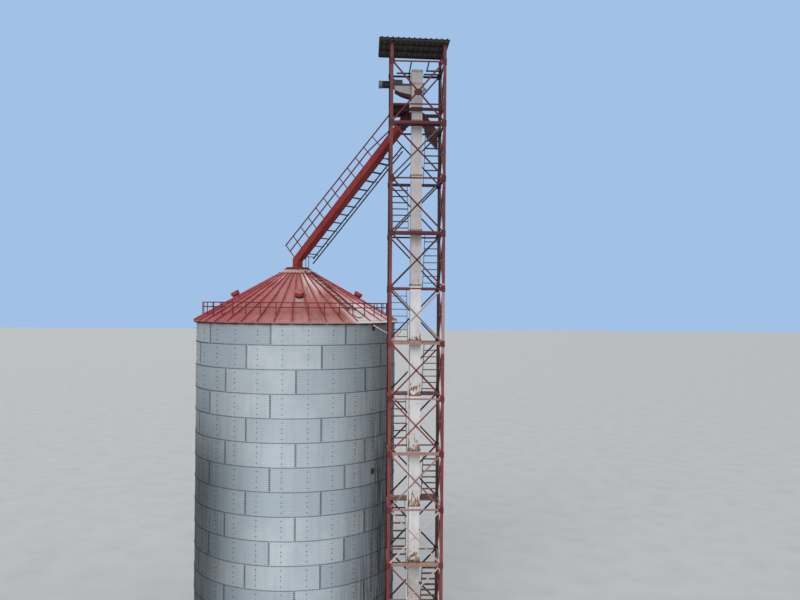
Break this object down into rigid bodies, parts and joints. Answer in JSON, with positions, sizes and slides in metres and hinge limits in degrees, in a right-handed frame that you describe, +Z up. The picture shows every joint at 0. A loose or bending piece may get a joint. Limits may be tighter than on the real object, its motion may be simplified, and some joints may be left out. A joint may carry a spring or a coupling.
{
  "type": "grain silo with its bucket elevator tower",
  "caption": "Corrugated flat-bottomed grain silo with a cone roof, and a braced tower that carries a bucket elevator, zigzag stairs, a canopy and a covered chute down to the roof.",
  "frame": {"origin": "on the silo's vertical axis at ground level, on the underside of its foundation", "axes": "+Z up, -Y towards the picture's viewer, +X towards the viewer's right, where the tower stands"},
  "size_m": [10.1603, 9.0781, 23.5195],
  "materials": {
    "concrete": "cast concrete, matt and stained",
    "galvanised_sheet": "corrugated galvanised sheet, dulled, with dusty patches",
    "roof_paint": "faded red oxide paint under pale dust",
    "rail_paint": "dull dark red paint",
    "tower_paint": "red oxide paint, faded and dusty in places",
    "deck_steel": "dark worn paint, rusty at the edges",
    "casing_paint": "off-white paint with rust at the flanges",
    "chute_paint": "red paint with weathered orange patches",
    "drive_paint": "dark grey machine enamel",
    "canopy_sheet_steel": "dark grey-brown weathered sheet",
    "pale_steel": "whitish primer"
  },
  "bodies": {
    "root": {"foundation": "concrete", "tower_slab": "concrete", "wall_sheet_1": "galvanised_sheet", "wall_sheet_2": "galvanised_sheet", "wall_sheet_3": "galvanised_sheet", "wall_sheet_4": "galvanised_sheet", "wall_sheet_5": "galvanised_sheet", "wall_sheet_6": "galvanised_sheet", "wall_sheet_7": "galvanised_sheet", "wall_sheet_8": "galvanised_sheet", "wall_sheet_9": "galvanised_sheet", "roof_quadrant_1": "roof_paint", "roof_quadrant_2": "roof_paint", "roof_quadrant_3": "roof_paint", "roof_quadrant_4": "roof_paint", "roof_vent_1": "roof_paint", "roof_vent_2": "roof_paint", "roof_vent_3": "roof_paint", "roof_vent_4": "roof_paint", "roof_hatch": "pale_steel", "wall_tie_upper": "pale_steel", "wall_tie_lower": "pale_steel", "peak_ring": "rail_paint", "peak_cap": "rail_paint", "roof_rail_1": "rail_paint", "roof_rail_2": "rail_paint", "roof_rail_3": "rail_paint", "roof_rail_4": "rail_paint", "roof_ladder": "rail_paint", "gallery_rail": "rail_paint", "tower_front_frame": "tower_paint", "tower_rear_frame": "tower_paint", "tower_left_bracing": "tower_paint", "tower_right_bracing": "tower_paint", "stair_flight_1": "deck_steel", "stair_flight_2": "deck_steel", "stair_flight_3": "deck_steel", "stair_flight_4": "deck_steel", "stair_flight_5": "deck_steel", "stair_flight_6": "deck_steel", "stair_flight_7": "deck_steel", "stair_flight_8": "deck_steel", "stair_flight_9": "deck_steel", "stair_flight_10": "deck_steel", "head_platform": "deck_steel", "gallery_stair": "deck_steel", "elevator_boot": "casing_paint", "elevator_trunk": "casing_paint", "elevator_head": "casing_paint", "drive_bracket": "casing_paint", "diverter": "chute_paint", "gallery_chute": "chute_paint", "drive_strut": "drive_paint", "drive_gearbox": "drive_paint", "drive_motor": "drive_paint", "canopy_frame": "canopy_sheet_steel", "canopy_sheet": "canopy_sheet_steel"}
  },
  "joints": []
}
